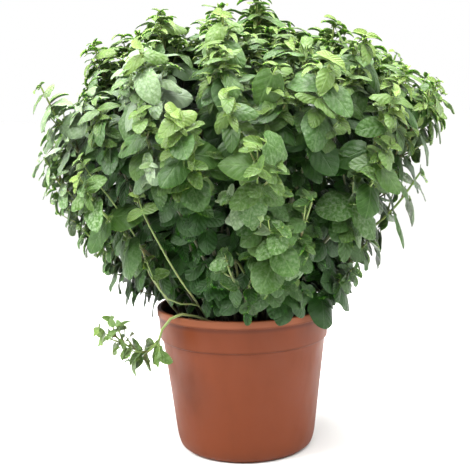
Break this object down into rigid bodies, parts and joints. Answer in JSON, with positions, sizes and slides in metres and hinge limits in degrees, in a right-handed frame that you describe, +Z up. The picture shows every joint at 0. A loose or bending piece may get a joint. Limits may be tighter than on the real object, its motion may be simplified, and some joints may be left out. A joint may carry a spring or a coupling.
{
  "type": "potted oregano plant",
  "caption": "Bushy oregano plant with opposite egg-shaped leaves on square stems, growing in a tapered plastic nursery pot filled with potting mix.",
  "frame": {"origin": "centre of the pot's flat underside, on the surface that it stands on", "axes": "+Z up along the pot's axis, -Y towards the side that the plant is seen from"},
  "size_m": [0.2914, 0.2954, 0.3335],
  "materials": {
    "pot_plastic": "thin moulded terracotta-coloured plastic, faintly streaked, with a soft satin sheen",
    "potting_mix": "moist dark peat and bark crumbs",
    "foliage": "soft matt grey-green leaves with a fine down, on paler square stems"
  },
  "bodies": {
    "root": {"pot": "pot_plastic", "potting_mix": "potting_mix", "trailing_stem": "foliage", "hanging_stem": "foliage", "leafy_stem_01": "foliage", "leafy_stem_02": "foliage", "leafy_stem_03": "foliage", "leafy_stem_04": "foliage", "leafy_stem_05": "foliage", "leafy_stem_06": "foliage", "leafy_stem_07": "foliage", "leafy_stem_08": "foliage", "leafy_stem_09": "foliage", "leafy_stem_10": "foliage", "leafy_stem_11": "foliage", "leafy_stem_12": "foliage", "leafy_stem_13": "foliage", "leafy_stem_14": "foliage", "leafy_stem_15": "foliage", "leafy_stem_16": "foliage", "leafy_stem_17": "foliage", "leafy_stem_18": "foliage", "leafy_stem_19": "foliage", "leafy_stem_20": "foliage", "leafy_stem_21": "foliage", "leafy_stem_22": "foliage", "leafy_stem_23": "foliage", "leafy_stem_24": "foliage", "leafy_stem_25": "foliage", "leafy_stem_26": "foliage", "leafy_stem_27": "foliage", "leafy_stem_28": "foliage", "leafy_stem_29": "foliage", "leafy_stem_30": "foliage", "leafy_stem_31": "foliage", "low_shoot_1": "foliage", "low_shoot_2": "foliage", "low_shoot_3": "foliage", "low_shoot_4": "foliage", "low_shoot_5": "foliage", "low_shoot_6": "foliage", "low_shoot_7": "foliage", "low_shoot_8": "foliage"}
  },
  "joints": []
}
